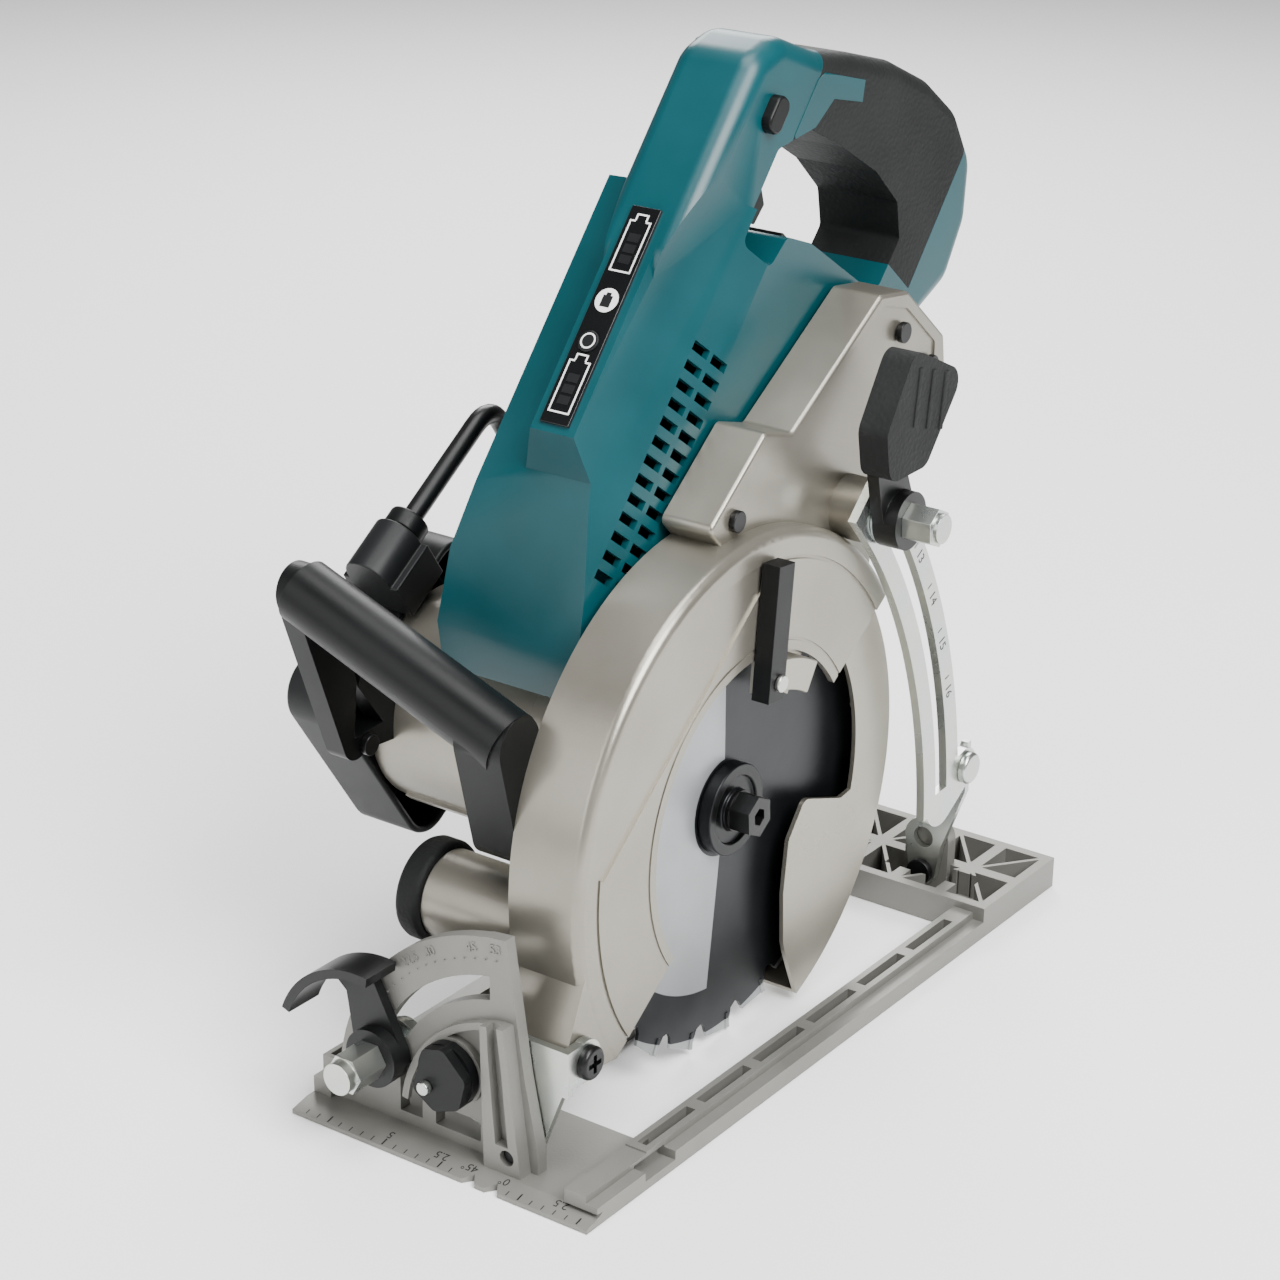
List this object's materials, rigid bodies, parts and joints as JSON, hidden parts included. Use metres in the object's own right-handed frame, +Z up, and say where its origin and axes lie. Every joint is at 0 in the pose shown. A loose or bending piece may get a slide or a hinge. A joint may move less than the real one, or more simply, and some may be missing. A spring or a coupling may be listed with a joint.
{
  "type": "cordless rear-handle circular saw",
  "caption": "Battery circular saw with a rear loop handle, blade on the left, tilting cast base, depth arm, sprung lower guard and front bar handle.",
  "frame": {"origin": "on the sole, on the cut line, straight below the depth pivot", "axes": "+X forward along the cut, +Y to the blade side, +Z up from the sole"},
  "size_m": [0.3535, 0.195, 0.3632],
  "materials": {
    "cast_base": "satin sand-cast alloy",
    "magnesium": "fine textured silver paint on cast magnesium",
    "guard_alloy": "satin",
    "zinc_steel": "bright zinc plate",
    "black_steel": "black oxide and paint",
    "blade_steel": "dark ground steel",
    "teal_plastic": "satin moulded",
    "black_plastic": "moulded",
    "dark_grey_plastic": "moulded",
    "black_rubber": "soft moulded",
    "gear_steel": "machined",
    "copper_core": "wound core",
    "circuit_board": "lacquered"
  },
  "bodies": {
    "base": {"base_plate": "cast_base", "bevel_pivot_pins": "black_steel"},
    "stop_knob": {"bevel_stop_knob": "black_plastic", "bevel_stop_pin": "zinc_steel"},
    "tilt_frame": {"tilt_bracket": "zinc_steel", "depth_pivot_screw": "black_steel", "depth_pivot_nut": "zinc_steel", "bevel_clamp_bolt": "zinc_steel", "bevel_clamp_washer": "zinc_steel", "depth_arm": "zinc_steel", "arm_pin": "zinc_steel", "rear_swivel_bracket": "zinc_steel"},
    "bevel_clamp_lever": {"bevel_lever": "black_steel", "bevel_lever_nut": "zinc_steel"},
    "head": {"blade_case": "magnesium", "dust_nozzle": "magnesium", "dust_ring": "black_rubber", "guard_spring": "gear_steel", "spindle_bearings": "gear_steel", "gear_housing": "magnesium", "motor_housing": "magnesium", "motor_end_cover": "dark_grey_plastic", "stator": "copper_core", "rotor_bearings": "gear_steel", "front_handle": "black_plastic", "hook_block": "magnesium", "depth_bolt": "zinc_steel", "depth_washer": "zinc_steel", "battery_dock_front": "black_plastic", "battery_dock_rear": "black_plastic", "battery_terminals": "zinc_steel", "grip_overmould": "black_rubber", "light_strip": "black_plastic", "switch_body": "black_plastic", "controller_board": "circuit_board", "body_shell_right": "teal_plastic", "body_shell_left": "teal_plastic", "housing_screws": "black_steel"},
    "guard": {"lower_guard": "guard_alloy", "guard_block": "guard_alloy", "guard_lever": "black_plastic", "guard_lever_screw": "zinc_steel"},
    "spindle_group": {"spindle": "gear_steel", "inner_flange": "gear_steel", "saw_blade": "blade_steel", "outer_flange": "black_steel", "blade_bolt": "black_steel", "spindle_gear": "gear_steel"},
    "rotor": {"rotor_shaft": "gear_steel", "rotor_core": "gear_steel", "cooling_fan": "black_plastic"},
    "hook": {"hook_rod": "black_steel", "hook_collar": "black_plastic"},
    "depth_clamp_lever": {"depth_lever": "black_steel", "depth_lever_cover": "black_rubber", "depth_lever_nut": "zinc_steel"},
    "shaft_lock": {"shaft_lock_button": "black_plastic"},
    "check_key": {"check_button": "dark_grey_plastic"},
    "trigger_key": {"trigger": "black_plastic"},
    "lockoff_key": {"lockoff_button": "black_plastic"}
  },
  "joints": [
    {"name": "bevel_tilt", "type": "hinge", "parent": "base", "child": "tilt_frame", "pos_m": [0, 0, 0.01], "axis": [-1, 0, 0], "range_deg": [0, 53]},
    {"name": "depth_swing", "type": "hinge", "parent": "tilt_frame", "child": "head", "pos_m": [0, 0, 0.044], "axis": [0, -1, 0], "range_deg": [0, 34.38]},
    {"name": "spindle_spin", "type": "hinge", "parent": "head", "child": "spindle_group", "pos_m": [-0.10634, 0, 0.0956], "axis": [0, 1, 0], "continuous": true},
    {"name": "rotor_spin", "type": "hinge", "parent": "head", "child": "rotor", "pos_m": [-0.09278, -0.08, 0.1154], "axis": [0, 1, 0], "continuous": true},
    {"name": "guard_swing", "type": "hinge", "parent": "head", "child": "guard", "pos_m": [-0.10634, 0, 0.0956], "axis": [0, 1, 0], "range_deg": [-35, 100], "stiffness_Nm_per_rad": 0.6},
    {"name": "bevel_lever_turn", "type": "hinge", "parent": "tilt_frame", "child": "bevel_clamp_lever", "pos_m": [0.025, -0.05714, 0.03136], "axis": [1, 0, 0], "range_deg": [-15, 50]},
    {"name": "stop_knob_turn", "type": "hinge", "parent": "base", "child": "stop_knob", "pos_m": [0.02, -0.026, 0.034], "axis": [1, 0, 0], "range_deg": [0, 90]},
    {"name": "depth_lever_turn", "type": "hinge", "parent": "head", "child": "depth_clamp_lever", "pos_m": [-0.17552, 0.028, 0.19329], "axis": [0, 1, 0], "range_deg": [0, 60]},
    {"name": "hook_swing", "type": "hinge", "parent": "head", "child": "hook", "pos_m": [-0.09901, -0.127, 0.19481], "axis": [-0.8251, 0, 0.5649], "range_deg": [0, 90]},
    {"name": "shaft_lock_press", "type": "slide", "parent": "head", "child": "shaft_lock", "axis": [-0.8251, 0, 0.5649], "range_m": [0, 0.004], "stiffness_N_per_m": 800},
    {"name": "check_button_press", "type": "slide", "parent": "head", "child": "check_key", "axis": [-0.7705, 0, -0.6375], "range_m": [0, 0.0008], "stiffness_N_per_m": 800},
    {"name": "trigger_pull", "type": "slide", "parent": "head", "child": "trigger_key", "axis": [-0.6375, 0, 0.7705], "range_m": [0, 0.006], "stiffness_N_per_m": 600},
    {"name": "lockoff_press", "type": "slide", "parent": "head", "child": "lockoff_key", "axis": [0, -1, 0], "range_m": [0, 0.003], "stiffness_N_per_m": 600}
  ],
  "couplings": [
    {"joint": "rotor_spin", "follows": "spindle_spin", "ratio": -4}
  ]
}
